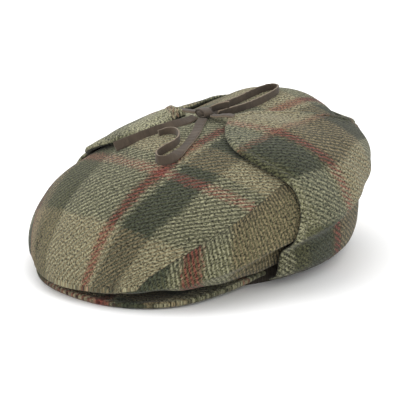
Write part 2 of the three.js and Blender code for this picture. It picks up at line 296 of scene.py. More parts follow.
def soft_waves(points, length, seed):
    """Gentle lumps, mostly between -1 and 1: the sum of plane waves that run in seeded directions,
    divided by the root of their count."""
    draw = np.random.default_rng(seed)
    way = draw.normal(size=(WAVE_COUNT, 3))
    way /= np.linalg.norm(way, axis=1, keepdims=True)
    late = draw.uniform(0, 2 * math.pi, WAVE_COUNT)
    stretch = draw.uniform(0.7, 1.4, WAVE_COUNT)
    phase = points @ way.T * (2 * math.pi / length * stretch) + late
    return np.sin(phase).sum(-1) / math.sqrt(WAVE_COUNT)


# ---- Surfaces of the cap ----
def head_reach(turn, half_length, half_width):
    """Distance from the crown's axis to an ellipse round the head's centre: the positive root of the
    quadratic that puts the point on the ellipse."""
    s, c = np.sin(np.radians(turn)), np.cos(np.radians(turn))
    back = HEAD_CENTRE_Y - CROWN_CENTRE_Y
    a = (s / half_width) ** 2 + (c / half_length) ** 2
    b = 2 * c * back / half_length**2
    return (-b + np.sqrt(b * b - 4 * a * ((back / half_length) ** 2 - 1))) / (2 * a)


def from_axis(turn, reach, z):
    """The point in a direction from the crown's axis, at a distance and a height."""
    angle = np.radians(turn)
    x, y = reach * np.sin(angle), CROWN_CENTRE_Y - reach * np.cos(angle)
    return np.stack(np.broadcast_arrays(x, y, z), -1)


def sag(f):
    """Depth of the worn crown's sag on the right: full between two directions, and smooth at its ends."""
    return SAG_DEPTH * smoothstep(f, *SAG_STARTS) * (1 - smoothstep(f, *SAG_ENDS))


def dome(turn, up, offset):
    """Reach and height above the widest line: the reach grows as the sine of the quarter turn, and the
    height falls as its cosine to a power set by the fullness, with a swell or sag half way out."""
    f = np.abs(turn)
    quarter = up * math.pi / 2
    widest = through(CROWN_ROWS, WIDEST, f)
    rise = np.clip(np.cos(quarter), 0, 1) ** (2 / through(CROWN_ROWS, FULLNESS, f))
    out = np.sin(quarter)
    swell = through(CROWN_ROWS, SWELL, f) - np.where(np.asarray(turn) < 0, sag(f), 0)
    reach = (through(CROWN_ROWS, REACH, f) + offset) * out
    return reach, widest + (CROWN_HEIGHT + offset - widest) * rise + swell * 4 * out**2 * (1 - out**2)


def crown_point(turn, down, inset):
    """The crown's cloth, inset from its outside. Above the widest line it is the dome; below, the
    reach draws in to the headband by the tuck table while the height falls evenly to the rim."""
    f = np.abs(turn)
    high_reach, high_z = dome(turn, np.minimum(down / WIDEST_DOWN, 1), -inset)
    height = np.clip((1 - down) / (1 - WIDEST_DOWN), 0, 1)
    rim, widest = through(CROWN_ROWS, RIM, f), through(CROWN_ROWS, WIDEST, f)
    clear = BAND_WALL + TOUCH_GAP
    tied = head_reach(turn, HEAD_HALF_LENGTH + clear, HEAD_HALF_WIDTH + clear)
    overhang = through(CROWN_ROWS, REACH, f) - tied
    beside = smoothstep(f, *TUCK_TURNS)
    tuck = through(TUCK_ROWS, 1, height) * (1 - beside) + through(TUCK_ROWS, 2, height) * beside
    low_reach = np.maximum(tied, tied + overhang * tuck - inset)
    low_z = rim + (widest - rim) * height + inset * (1 - height**4)
    above = down <= WIDEST_DOWN
    return from_axis(turn, np.where(above, high_reach, low_reach), np.where(above, high_z, low_z))


def flap_point(side, share, up, offset):
    """An ear flap, offset from the crown. Its lines run from the hem to the top edge and lean over as
    the cube of the way up; its front edge bends by a table. Above the lip it follows the dome, and
    below it the reach draws in to the hem."""
    turn_column, high_column = TOP_COLUMNS[side]
    sign = SIDE_SIGN[side]
    hem_turn = FLAP_FRONT + (BACK_SEAM - FLAP_FRONT) * share
    top_turn = np.minimum(BACK_SEAM, through(FLAP_TOP_ROWS, turn_column, share))
    tip_turn = FLAP_TOP_ROWS[0][turn_column]
    lean = up**3
    bend = through(FLAP_EDGE_ROWS, EDGE_COLUMN[side], up) - FLAP_FRONT - (tip_turn - FLAP_FRONT) * lean
    turn = hem_turn + (top_turn - hem_turn) * lean + (1 - share) ** 3 * bend
    height = through(FLAP_TOP_ROWS, high_column, share) * up
    high_reach, high_z = dome(sign * turn, np.clip((1 - height) / (1 - FLAP_LIP), 0, 1), offset)
    low = np.clip(height / FLAP_LIP, 0, 1)
    hem = head_reach(turn, HEAD_HALF_LENGTH + BAND_WALL, HEAD_HALF_WIDTH + BAND_WALL) + FLAP_HEM_OUT
    widest = through(CROWN_ROWS, WIDEST, turn)
    overhang = through(CROWN_ROWS, REACH, turn) - hem
    low_reach = hem + overhang * through(TUCK_ROWS, 2, low) + offset
    low_z = FLAP_HEM_Z + (widest - FLAP_HEM_Z) * low
    above = height >= FLAP_LIP
    reach, z = np.where(above, high_reach, low_reach), np.where(above, high_z, low_z)
    return from_axis(sign * turn, reach, z)


# ---- Meshes ----
PATTERN_UNIT = 100  # millimetres of cloth in one unit of the pattern map
SAME_POINT = 2e-6  # metres within which two points are merged
ON_EDGE = 1e-6  # millimetres from a grid's edge that still count as on it


def piece_from_grids(name, grids, materials, replaced):
    """A mesh from grids of points, each with a matching grid of pattern coordinates in millimetres and
    a material number. Cells are quads; shared points are merged, so poles and edges close."""
    points, corners, patterns, numbers = [], [], [], []
    base = 0
    for grid, pattern, number in grids:
        rows, columns = grid.shape[:2]
        index = base + np.arange(rows * columns).reshape(rows, columns)
        cells = np.stack([index[:-1, :-1], index[:-1, 1:], index[1:, 1:], index[1:, :-1]], -1)
        points.append(grid.reshape(-1, 3) * MM)
        patterns.append(pattern.reshape(-1, 2) / PATTERN_UNIT)
        corners.append(cells.reshape(-1, 4))
        numbers.append(np.full(len(corners[-1]), number))
        base += rows * columns
    points, patterns = np.concatenate(points), np.concatenate(patterns)
    corners, numbers = np.concatenate(corners), np.concatenate(numbers)
    mesh = bpy.data.meshes.new(name)
    mesh.from_pydata(points.tolist(), [], corners.tolist())
    layer = mesh.uv_layers.new(name="pattern")
    layer.data.foreach_set("uv", patterns[corners.ravel()].astype(np.float32).ravel())
    mesh.polygons.foreach_set("material_index", numbers.astype(np.int32))
    for material in materials:
        mesh.materials.append(material)
    made = bmesh.new()
    made.from_mesh(mesh)
    bmesh.ops.remove_doubles(made, verts=made.verts, dist=SAME_POINT)
    bmesh.ops.recalc_face_normals(made, faces=made.faces)
    made.to_mesh(mesh)
    made.free()
    mesh.polygons.foreach_set("use_smooth", np.ones(len(mesh.polygons), bool))
    piece = bpy.data.objects.new(name, mesh)
    bpy.context.scene.collection.objects.link(piece)
    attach(piece, "root")
    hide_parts(replaced)
    return piece


# ---- Camera ----
CAMERA_TURN, CAMERA_RISE = math.radians(43), math.radians(17.5)
CAMERA_AWAY = 1300
CAMERA_LENS, CAMERA_SENSOR = 151.5, 36
CAMERA_AIM = (0, 6, 50)
AIM_RIGHT, AIM_UP = -4.7, -8.9  # how far the camera's aim is moved, in its own directions


def add_camera():
    """The camera stands on a sphere round its aim, which is moved a little sideways and down."""
    sin_t, cos_t = math.sin(CAMERA_TURN), math.cos(CAMERA_TURN)
    sin_r, cos_r = math.sin(CAMERA_RISE), math.cos(CAMERA_RISE)
    back = Vector((sin_t * cos_r, -cos_t * cos_r, sin_r))
    right = Vector((cos_t, sin_t, 0))
    up = Vector((-sin_t * sin_r, cos_t * sin_r, cos_r))
    aim = Vector(CAMERA_AIM) + right * AIM_RIGHT + up * AIM_UP
    lens = bpy.data.cameras.new("camera")
    lens.lens = CAMERA_LENS
    lens.sensor_width = CAMERA_SENSOR
    lens.clip_start, lens.clip_end = 0.05, 50
    camera = bpy.data.objects.new("camera", lens)
    place = Matrix.Translation((aim + back * CAMERA_AWAY) * MM)
    camera.matrix_world = place @ Matrix((right, up, back)).transposed().to_4x4()
    bpy.context.scene.collection.objects.link(camera)
    bpy.context.scene.camera = camera


# ---- Materials ----
STRIPE_BORDER = 1.3  # half the width over which one yarn colour gives way to the next
PATTERN_HALF = 260  # the stripes are listed from minus this to plus this, in millimetres


def from_srgb(red, green, blue):
    """A colour given as 0 to 255 on a screen, made linear."""
    share = np.array([red, green, blue]) / 255
    linear = np.where(share <= 0.04045, share / 12.92, ((share + 0.055) / 1.055) ** 2.4)
    return (*linear.tolist(), 1)


TAN = from_srgb(103, 92, 68)
CREAM = from_srgb(116, 114, 91)
MOSS = from_srgb(69, 69, 47)
DARK = from_srgb(49, 50, 34)
SLATE = from_srgb(51, 55, 43)
RED = from_srgb(98, 52, 43)
FAINT_RED = from_srgb(98, 70, 54)

# where each coloured stripe of yarn starts, in millimetres across the cloth
LENGTHWISE = [
    (-260, DARK),
    (-150, TAN),
    (-118, MOSS),
    (-84, RED),
    (-79, TAN),
    (-62, MOSS),
    (-31, CREAM),
    (22.5, RED),
    (31, CREAM),
    (36, SLATE),
    (64, CREAM),
    (104, SLATE),
    (136, TAN),
    (170, RED),
    (175, DARK),
]
CROSSWISE = [
    (-260, TAN),
    (-158, DARK),
    (-106, RED),
    (-97.5, DARK),
    (-86, TAN),
    (-60, DARK),
    (-22, CREAM),
    (-10, RED),
    (-5, DARK),
    (25, TAN),
    (62, DARK),
    (84, RED),
    (89, CREAM),
    (130, DARK),
    (165, TAN),
]
SIDE_LENGTHWISE = [
    (-260, TAN),
    (54, SLATE),
    (83, CREAM),
    (92, RED),
    (106, CREAM),
    (126, TAN),
    (186, SLATE),
    (206, RED),
    (211, CREAM),
    (240, DARK),
]
# the side panels' cross stripes, run down from the seam: dark to 8 mm, moss to 52 mm, then dark all the way
# down to the rim
SIDE_CROSSWISE = [(-260, DARK), (8, MOSS), (52, DARK)]
# the inside of the flaps: dark tweed, partly a dark lining and partly painted shade, since its dark half of
# the rolled edge shows as the shadow line along each flap's front edge
INSIDE_LENGTHWISE = [(-260, DARK), (0, SLATE)]
INSIDE_CROSSWISE = [(-260, DARK), (100, DARK)]
FLAP_LENGTHWISE = [
    (-260, CREAM),
    (-48, MOSS),
    (-34, SLATE),
    (-8, MOSS),
    (-4, RED),
    (3.5, TAN),
    (48, DARK),
    (78, FAINT_RED),
    (84, CREAM),
    (125, DARK),
    (160, TAN),
]
FLAP_CROSSWISE = [
    (-260, DARK),
    (20, CREAM),
    (57, FAINT_RED),
    (62, DARK),
    (102, CREAM),
    (144, MOSS),
    (150, DARK),
]
FAR_LENGTHWISE = [
    (-260, CREAM),
    (-64, DARK),
    (-52, MOSS),
    (-44, CREAM),
    (-8, FAINT_RED),
    (-2, CREAM),
    (30, TAN),
    (48, DARK),
    (78, FAINT_RED),
    (84, CREAM),
    (125, DARK),
    (160, TAN),
]
FAR_CROSSWISE = [
    (-260, CREAM),
    (72, DARK),
    (112, CREAM),
    (144, MOSS),
    (150, DARK),
]


class Finish:
    """A material's node tree, with short calls that add a node and join its inputs."""

    def __init__(self, name):
        self.material = bpy.data.materials.new(name)
        self.material.use_nodes = True
        self.tree = self.material.node_tree
        self.shader = self.tree.nodes["Principled BSDF"]

    def join(self, source, socket):
        """A socket takes another node's output, or a constant."""
        if isinstance(source, bpy.types.NodeSocket):
            self.tree.links.new(source, socket)
        else:
            socket.default_value = source

    def maths(self, operation, *sources):
        """One step of arithmetic."""
        node = self.tree.nodes.new("ShaderNodeMath")
        node.operation = operation
        for source, socket in zip(sources, node.inputs):
            self.join(source, socket)
        return node.outputs[0]

    def spread(self, source, low, high, to_low=0.0, to_high=1.0):
        """A value carried from one range to another and held inside it."""
        node = self.tree.nodes.new("ShaderNodeMapRange")
        for place, value in enumerate((source, low, high, to_low, to_high)):
            self.join(value, node.inputs[place])
        return node.outputs[0]

    def noise(self, where, scale, detail=2.0, roughness=0.5):
        """Cloudy noise between 0 and 1, with its middle near a half."""
        node = self.tree.nodes.new("ShaderNodeTexNoise")
        self.join(where, node.inputs["Vector"])
        node.inputs["Scale"].default_value = scale
        node.inputs["Detail"].default_value = detail
        node.inputs["Roughness"].default_value = roughness
        return node.outputs["Fac"]

    def blend(self, share, first, second, mode="MIX"):
        """Two colours mixed by a share."""
        node = self.tree.nodes.new("ShaderNodeMix")
        node.data_type, node.blend_type = "RGBA", mode
        self.join(share, node.inputs["Factor"])
        self.join(first, node.inputs["A"])
        self.join(second, node.inputs["B"])
        return node.outputs["Result"]

    def stripes(self, place, rows):
        """A colour for each stretch of a list of starts in millimetres, with soft borders between."""
        node = self.tree.nodes.new("ShaderNodeValToRGB")
        places = [(rows[0][0], rows[0][1])]
        for (_, before), (start, colour) in zip(rows, rows[1:]):
            places += [(start - STRIPE_BORDER, before), (start + STRIPE_BORDER, colour)]
        stops = node.color_ramp.elements
        while len(stops) < len(places):
            stops.new(1.0)
        for stop, (start, colour) in zip(stops, places):
            stop.position = (start + PATTERN_HALF) / (2 * PATTERN_HALF)
            stop.color = colour
        self.join(self.spread(place, -PATTERN_HALF, PATTERN_HALF), node.inputs[0])
        return node.outputs[0]

    def pattern(self):
        """The piece's own pattern map: the vector, and both ways in millimetres."""
        node = self.tree.nodes.new("ShaderNodeUVMap")
        node.uv_map = "pattern"
        parts = self.tree.nodes.new("ShaderNodeSeparateXYZ")
        self.join(node.outputs[0], parts.inputs[0])
        ways = [self.maths("MULTIPLY", parts.outputs[i], PATTERN_UNIT) for i in (0, 1)]
        return node.outputs[0], *ways

    def relief(self, height, depth, strength=1.0):
        """Small relief from a height between 0 and 1 and a depth in millimetres."""
        node = self.tree.nodes.new("ShaderNodeBump")
        node.inputs["Strength"].default_value = strength
        node.inputs["Distance"].default_value = depth * MM
        self.join(height, node.inputs["Height"])
        self.join(node.outputs[0], self.shader.inputs["Normal"])

    def surface(self, colour, roughness, specular, sheen=0.0):
        """The shader's colour and its plain constants."""
        self.join(colour, self.shader.inputs["Base Color"])
        self.join(roughness, self.shader.inputs["Roughness"])
        self.shader.inputs["Specular IOR Level"].default_value = specular
        self.shader.inputs["Sheen Weight"].default_value = sheen
        self.shader.inputs["Sheen Roughness"].default_value = 0.6
        return self.material


# how the tweed is woven, in millimetres of cloth
TWILL_RIB = 5.2  # from one diagonal rib to the next, along the cloth
HAIR_STRAY = 4.2  # how far hairs stray over a stripe's border
RIB_STRAY = 1.5  # how far they stray over a rib's
YARN_DRIFT = 1.6  # how far a stripe wanders from its line
WOOL_RELIEF = 0.8


def tweed(name, lengthwise, crosswise, rib_way=(1, -1)):
    """Woollen twill in two sets of coloured yarn. Each set has its stripes, and diagonal ribs show one
    set and then the other: the sine of a weighted sum of both ways. Heather flecks, cloudy fading and
    woolly stripe edges come from noise."""
    f = Finish(name)
    where, across, along_cloth = f.pattern()
    wool = f.noise(where, 34, 4, 0.75)
    fleck = f.noise(where, 62, 2, 0.85)
    cloud = f.noise(where, 2.2, 2)
    stray = f.spread(wool, 0.25, 0.75, -HAIR_STRAY, HAIR_STRAY)
    drift = f.spread(f.noise(where, 3.5, 1), 0.2, 0.8, -YARN_DRIFT, YARN_DRIFT)
    first = f.stripes(f.maths("ADD", f.maths("ADD", across, stray), drift), lengthwise)
    second = f.stripes(f.maths("ADD", f.maths("SUBTRACT", along_cloth, stray), drift), crosswise)
    ways = [f.maths("MULTIPLY", way, share) for way, share in zip((across, along_cloth), rib_way)]
    diagonal = f.maths("ADD", *ways)
    diagonal = f.maths("ADD", diagonal, f.spread(wool, 0.25, 0.75, -RIB_STRAY, RIB_STRAY))
    diagonal = f.maths("ADD", diagonal, f.maths("MULTIPLY", drift, 0.8))
    wave = f.maths("SINE", f.maths("MULTIPLY", diagonal, 2 * math.pi / TWILL_RIB))
    rib = f.spread(wave, -0.8, 0.8)
    colour = f.blend(f.spread(rib, 0, 1, 0.16, 0.84), first, second)
    heather = f.spread(fleck, 0.38, 0.62, 0.08, 2.1)
    fading = f.spread(cloud, 0.3, 0.7, 0.9, 1.08)
    shade = f.maths("MULTIPLY", f.maths("MULTIPLY", heather, fading), f.spread(wave, -1, 1, 1.06, 0.92))
    grey = f.tree.nodes.new("ShaderNodeCombineColor")
    for socket in grey.inputs:
        f.join(shade, socket)
    colour = f.blend(1.0, colour, grey.outputs[0], "MULTIPLY")
    height = f.maths("ADD", f.maths("MULTIPLY", wave, 0.22), f.maths("MULTIPLY", wool, 0.9))
    f.relief(height, WOOL_RELIEF)
    return f.surface(colour, 0.95, 0.08, 0.1)


def satin_lining():
    """Brown satin with fine cross threads and faint creases."""
    f = Finish("satin lining")
    where, across, _ = f.pattern()
    thread = f.maths("SINE", f.maths("MULTIPLY", across, 7.0))
    crease = f.noise(where, 9, 3)
    share = f.spread(f.maths("ADD", f.maths("MULTIPLY", thread, 0.1), crease), 0.3, 0.8)
    colour = f.blend(share, from_srgb(52, 42, 34), from_srgb(82, 68, 56))
    f.relief(crease, 0.6, 0.5)
    return f.surface(colour, 0.45, 0.35)


WEBBING_RIB = 1.4  # millimetres from one upright rib to the next


def band_webbing():
    """The sweatband's ribbed webbing: fine upright ribs, with patches that are worn paler."""
    f = Finish("band webbing")
    where, around, _ = f.pattern()
    rib = f.maths("SINE", f.maths("MULTIPLY", around, 2 * math.pi / WEBBING_RIB))
    wear = f.noise(where, 6, 3)
    share = f.maths("ADD", f.spread(rib, -1, 1, 0, 0.35), f.spread(wear, 0.3, 0.7, 0, 0.6))
    colour = f.blend(share, from_srgb(38, 33, 28), from_srgb(66, 58, 48))
    f.relief(f.maths("ADD", rib, wear), 0.25, 0.8)
    return f.surface(colour, 0.8, 0.2, 0.05)


def brown_suede():
    """Suede with a soft nap in two browns and broad scuffs."""
    f = Finish("brown suede")
    where, _, _ = f.pattern()
    nap = f.noise(where, 38, 4, 0.7)
    scuff = f.noise(where, 7, 3)
    share = f.maths("ADD", f.spread(nap, 0.25, 0.75, 0, 0.5), f.spread(scuff, 0.3, 0.7, 0, 0.5))
    colour = f.blend(share, from_srgb(46, 38, 31), from_srgb(86, 74, 61))
    f.relief(nap, 0.2, 0.8)
    return f.surface(colour, 0.85, 0.2, 0.12)


def cut_suede():
    """The pale raw edge of cut suede."""
    f = Finish("cut suede edge")
    where, _, _ = f.pattern()
    colour = f.blend(f.noise(where, 60, 3), from_srgb(92, 80, 66), from_srgb(138, 124, 106))
    return f.surface(colour, 0.9, 0.15, 0.1)


def pale_floor():
    """Plain matt white with the faintest variation."""
    f = Finish("pale floor")
    place = f.tree.nodes.new("ShaderNodeTexCoord").outputs["Object"]
    colour = f.blend(f.noise(place, 1.5), (0.93, 0.93, 0.93, 1), (0.95, 0.95, 0.95, 1))
    return f.surface(colour, 0.9, 0.1)


STEEP_RIBS = (1.85, -0.4)  # the side panels' ribs run almost straight down
TOP_TWEED = tweed("plaid tweed top", LENGTHWISE, CROSSWISE)
SIDE_TWEED = tweed("plaid tweed sides", SIDE_LENGTHWISE, SIDE_CROSSWISE, STEEP_RIBS)
# dark inside tweed of the flaps, which also paints the shade along their rolled front edges
INSIDE_TWEED_WITH_EDGE_SHADE = tweed("dark tweed inside flaps with painted edge shade", INSIDE_LENGTHWISE, INSIDE_CROSSWISE)
FLAP_TWEEDS = {
    "left": tweed("plaid tweed near flap", FLAP_LENGTHWISE, FLAP_CROSSWISE),
    "right": tweed("plaid tweed far flap", FAR_LENGTHWISE, FAR_CROSSWISE),
}
LINING = satin_lining()
WEBBING = band_webbing()
SUEDE = brown_suede()
CUT_EDGE = cut_suede()


# ---- Laces ----
LACE_RIPPLE = 0.12  # height of the ripples left in worn suede
LACE_GIRTH = 16  # how far the pattern map runs once round a lace


def smooth_route(route, count):
    """Evenly spread points on a smooth curve through a route, with the lean at each."""
    places = np.array(route, float)
    run = np.concatenate([[0], np.cumsum(np.linalg.norm(np.diff(places[:, :3], axis=0), axis=1))])
    rows = np.column_stack([run, places])
    at = np.linspace(0, run[-1], count)
    columns = [through(rows, column, at, free_ends=True) for column in (1, 2, 3, 4)]
    return np.stack(columns[:3], -1), columns[3]


def lace_surface(path, lean):
    """A flat strip carried along its path. Its section is a superellipse of power 5, turned by the lean
    about the path. Gives the points and the distance run along the strip."""
    tangent = np.gradient(path, axis=0)
    tangent /= np.linalg.norm(tangent, axis=1, keepdims=True)
    level = np.cross(tangent, [0, 0, 1])
    level /= np.linalg.norm(level, axis=1, keepdims=True)
    upright = np.cross(level, tangent)
    turn = np.radians(lean)[:, None]
    across = level * np.cos(turn) + upright * np.sin(turn)
    above = upright * np.cos(turn) - level * np.sin(turn)
    angle = np.linspace(0, 2 * math.pi, LACE_SECTION + 1)
    wide = squared_off(np.cos(angle), 0.4) * LACE_WIDTH / 2
    high = squared_off(np.sin(angle), 0.4) * LACE_THICK / 2
    section = across[:, None] * wide[:, None] + above[:, None] * high[:, None]
    return path[:, None] + section, run_length(path[:, None], 0) + 0 * angle


def lace_piece(name, route, count, seed):
    """A suede lace: the strip itself, with slight ripples, and its two cut ends, each a ring that
    shrinks to the middle."""
    path, lean = smooth_route(route, count)
    path[:, 2] -= LACE_SETTLES
    grid, run = lace_surface(path, lean)
    grid = grid + LACE_RIPPLE * soft_waves(grid, 5, seed)[..., None] * np.array([0, 0, 1])
    around = np.broadcast_to(np.linspace(0, LACE_GIRTH, LACE_SECTION + 1), run.shape)
    pattern = np.stack([run, around], -1)
    grids = [(grid, pattern, 0)]
    for end in (0, -1):
        ring, middle = grid[end], path[end]
        cap = np.stack([ring, middle + (ring - middle) * 0.6, np.broadcast_to(middle, ring.shape)])
        grids.append((cap, np.stack([pattern[end]] * len(cap)), 1))
    piece = piece_from_grids("suede_" + name, grids, [SUEDE, CUT_EDGE], name)
    pale_edges(piece, count)
    return piece, path


def pale_edges(piece, count):
    """Gives the two narrow sides of a strip the raw edge's finish: the cells on either side
    of the section's start and of its half way round."""
    mesh = piece.data
    numbers = np.zeros(len(mesh.polygons), np.int32)
    mesh.polygons.foreach_get("material_index", numbers)
    body = np.arange(LACE_SECTION * (count - 1)) % LACE_SECTION
    half = LACE_SECTION // 2
    narrow = np.isin(body, [0, LACE_SECTION - 1, half - 1, half])
    numbers[: len(body)] = np.where(narrow, 1, numbers[: len(body)])
    mesh.polygons.foreach_set("material_index", numbers)


# half width, half height, half depth, turn in degrees and place of each flat wrap round the knot
KNOT_WRAPS = [(7.2, 3.8, 3.6, -12, -0.6), (6.4, 3.2, 3.0, 28, 1.8)]
KNOT_CORE = (6, 5, 3.2)  # its half sizes


def knot_piece():
    """The knot: a rounded core with two flat wraps round it. A wrap is a ring whose section is a flat
    superellipse; the ring is an upright ellipse, turned a little about the vertical."""
    centre = np.array(KNOT_CENTRE, float) - [0, 0, LACE_SETTLES]
    grids = []
    for half_wide, half_high, half_deep, turned, slide in KNOT_WRAPS:
        around = np.linspace(0, 2 * math.pi, KNOT_TURNS)[:, None]
        section = np.linspace(0, 2 * math.pi, KNOT_SECTION)[None]
        out = squared_off(np.sin(section), 0.5) * LACE_THICK / 2
        x = np.cos(around) * (half_wide - 1 + out)
        z = np.sin(around) * (half_high - 1 + out + 0.15 * np.cos(section))
        y = squared_off(np.cos(section), 0.5) * half_deep + slide + 0 * around
        t = math.radians(turned)
        ring = np.stack([x * math.cos(t) - y * math.sin(t), x * math.sin(t) + y * math.cos(t), z], -1)
        pattern = np.stack([around * half_wide + 0 * section, section * 4 + 0 * around], -1)
        grids.append((centre + ring, pattern, 0))
    turn, rise = np.meshgrid(
        np.linspace(0, 2 * math.pi, CORE_TURNS), np.linspace(-math.pi / 2, math.pi / 2, KNOT_SECTION)
    )
    core = np.stack([np.cos(rise) * np.cos(turn), np.cos(rise) * np.sin(turn), np.sin(rise)], -1) * KNOT_CORE
    grids.append((centre + core, np.stack([turn, rise], -1) * KNOT_CORE[0], 0))
    return piece_from_grids("suede_lace_knot", grids, [SUEDE, CUT_EDGE], "lace_knot")


def add_laces():
    """The knot, its loop, a stub, two tails and the two ties that run under the flap tips."""
    knot = knot_piece()
    stub, _ = lace_piece("lace_stub", STUB_ROUTE, 30, seed=5)
    tie_left, _ = lace_piece("lace_tie_left", TIE_LEFT_ROUTE, 36, seed=6)
    tie_right, _ = lace_piece("lace_tie_right", TIE_RIGHT_ROUTE, 30, seed=7)
    loop, loop_path = lace_piece("lace_loop", LOOP_ROUTE, 260, seed=2)
    long_tail, long_path = lace_piece("lace_long_tail", LONG_TAIL_ROUTE, 110, seed=3)
    hooked, hooked_path = lace_piece("lace_hooked_tail", HOOKED_TAIL_ROUTE, 220, seed=4)


# ---- Cloth pieces ----
STRIPE_BEND = 0.003  # how fast cross stripes bend back towards the sides, per millimetre
FRONT_DRAW = 0.003  # how fast lengthwise stripes draw in over the front, per millimetre
FRONT_FROM, FRONT_RUN = 110, 90  # where that starts, forward of the axis, and how far it goes on
SEAM_DEPTH = 0.55  # how deep a seam's groove is
SEAM_VALLEY, VALLEY_WIDE = 0.7, 4  # how far the cloth sinks towards a seam, and over what width
SEAM_SLIT = 0.0004  # share of the way down that each panel keeps clear of the seam
EDGE_ROLL = 1  # radius of a panel's rolled edge
RELIEF_FROM = 14  # distance from a seam at which the cloth's slack is full
SIDE_FRONT = SEAM_FOOT[0] + 0.4  # direction of a side panel's front end
TUCKED_TURN, TUCKED_CLOTH = 60, 60  # the front's tuck: how far round it goes, and its cloth


def crown_height_at(x, y):
    """Height of the crown's outside over a point of the plan, from the dome's formula."""
    turn = np.degrees(np.arctan2(x, CROWN_CENTRE_Y - y))
    f = np.abs(turn)
    out = np.clip(np.hypot(x, CROWN_CENTRE_Y - y) / through(CROWN_ROWS, REACH, f), 0, 0.999)
    return dome(turn, np.arcsin(out) * 2 / math.pi, 0)[1]


def cloth_lay(points):
    """Pattern coordinates of the top panel: the distance over the crown from the middle line to each
    side, and from the crown's axis forwards and back, less the bend of the cross stripes."""
    x, y = points[..., 0], points[..., 1]
    share = np.linspace(0, 1, LAY_STEPS).reshape(-1, *([1] * x.ndim))
    rise = np.diff(crown_height_at(x * share, y + 0 * share), axis=0)
    across = np.sign(x) * np.hypot(x / (LAY_STEPS - 1), rise).sum(0)
    back = y - CROWN_CENTRE_Y
    rise = np.diff(crown_height_at(x + 0 * share, CROWN_CENTRE_Y + back * share), axis=0)
    along_cloth = np.sign(back) * np.hypot(back / (LAY_STEPS - 1), rise).sum(0)
    drawn_in = across * (1 + FRONT_DRAW * np.clip(-along_cloth - FRONT_FROM, 0, FRONT_RUN))
    return np.stack([drawn_in, along_cloth - STRIPE_BEND * across**2], -1)


def seam_down(turn):
    """How far down the crown's seam runs: the table behind SEAM_FOOT, and down to the rim before it."""
    foot = smoothstep(np.abs(turn), *SEAM_FOOT)
    return 1 + (through(SEAM_ROWS, 1, np.abs(turn)) - 1) * foot


def crown_relief(points):
    """Slack and small lumps of the crown's cloth, in millimetres."""
    return 0.9 * soft_waves(points, 95, 11) + 0.35 * soft_waves(points, 38, 12)


def cloth_shell(name, point, edges, pattern, cloth):
    """A wall of cloth between an outside and an inside that meet in a rolled edge. point takes an inset
    and gives the grid; edges says which of the grid's edges are free."""
    middle = point(CLOTH / 2)
    distance = edge_distance(middle, *edges)
    round_off = 1 - rolled(distance, EDGE_ROLL)
    valley = SEAM_VALLEY * bell(distance, 0, VALLEY_WIDE)
    sunk = valley - crown_relief(middle) * rolled(distance, RELIEF_FROM)
    outside = point(SEAM_DEPTH * round_off + sunk)
    inside = point(CLOTH - (CLOTH - SEAM_DEPTH) * round_off + valley)
    inside = np.where((distance < ON_EDGE)[..., None], outside, inside)
    grids = [(outside, pattern, 0), (inside, pattern, 1)]
    return piece_from_grids("sewn_" + name, grids, [cloth, LINING], name)


def top_panel():
    """The crown's top: rings from the apex down to the seam, and to the rim at the front."""
    turn, ring = np.meshgrid(np.linspace(-180, 180, CROWN_TURNS), to_far_edge(CROWN_RINGS))
    down = ring * (seam_down(turn) - SEAM_SLIT)
    pattern = cloth_lay(crown_point(turn, np.minimum(down, WIDEST_DOWN), 0))
    tucked = np.clip(down - WIDEST_DOWN, 0, 1) * (np.abs(turn) < TUCKED_TURN)
    pattern[..., 1] -= tucked * TUCKED_CLOTH
    seams = ((False, True), (False, False))
    return cloth_shell("top_panel", lambda inset: crown_point(turn, down, inset), seams, pattern, TOP_TWEED)


def side_panel(side):
    """A side of the crown: from the seam down to the rim and round from the front to the back."""
    share, ring = np.meshgrid(to_both_edges(SIDE_TURNS), to_both_edges(SIDE_RINGS))
    turn = SIDE_FRONT + (BACK_SEAM - SIDE_FRONT) * share
    top = seam_down(turn) + SEAM_SLIT
    down = top + (1 - top) * ring
    middle = crown_point(turn, down, CLOTH / 2)
    steps = np.linspace(0, 180, ARC_STEPS)
    arc = np.cumsum(through(CROWN_ROWS, REACH, steps)) * math.pi / ARC_STEPS
    pattern = np.stack([np.interp(turn, steps, arc), run_length(middle, 0)], -1)
    sign, seams = SIDE_SIGN[side], ((True, True), (True, True))
    return cloth_shell(
        "side_panel_" + side, lambda inset: crown_point(sign * turn, down, inset), seams, pattern, SIDE_TWEED
    )


# how far a flap's grain wanders back, over the distance down from the crown's middle line
FLAP_DRIFT_ROWS = [(10, -10), (60, 17), (95, 29), (130, 27), (205, 40)]
FLAP_RUN = 205  # from the crown's middle line to a flap's hem
FLAP_ROLL = 4.2  # radius of a flap's rolled edge
FLAP_SEAM_IN, FLAP_SEAM_WIDE, FLAP_SEAM_DEEP = 7.5, 1.3, 0.75  # the groove along a flap's edge
FAR_TIP = (-24, 4)  # plan position where the right flap's tip is thickest
FAR_TIP_PUFF, FAR_TIP_WIDE = 5.5, 20  # how much thicker it is there, and over what width


def flap_lay(points, up):
    """Pattern coordinates of a flap: how far back a point is, less the wander of the grain, and the
    distance down from the crown's middle line. That is run over the crown near the top edge, and
    counted back from the hem lower down, with a smooth change between."""
    from_hem = FLAP_RUN - run_length(points, 0)
    from_top = np.abs(cloth_lay(points)[..., 0])
    high = smoothstep(up, 0.6, 0.9)
    over = from_top * high + from_hem * (1 - high)
    return np.stack([points[..., 1] - through(FLAP_DRIFT_ROWS, 1, over, free_ends=True), over], -1)


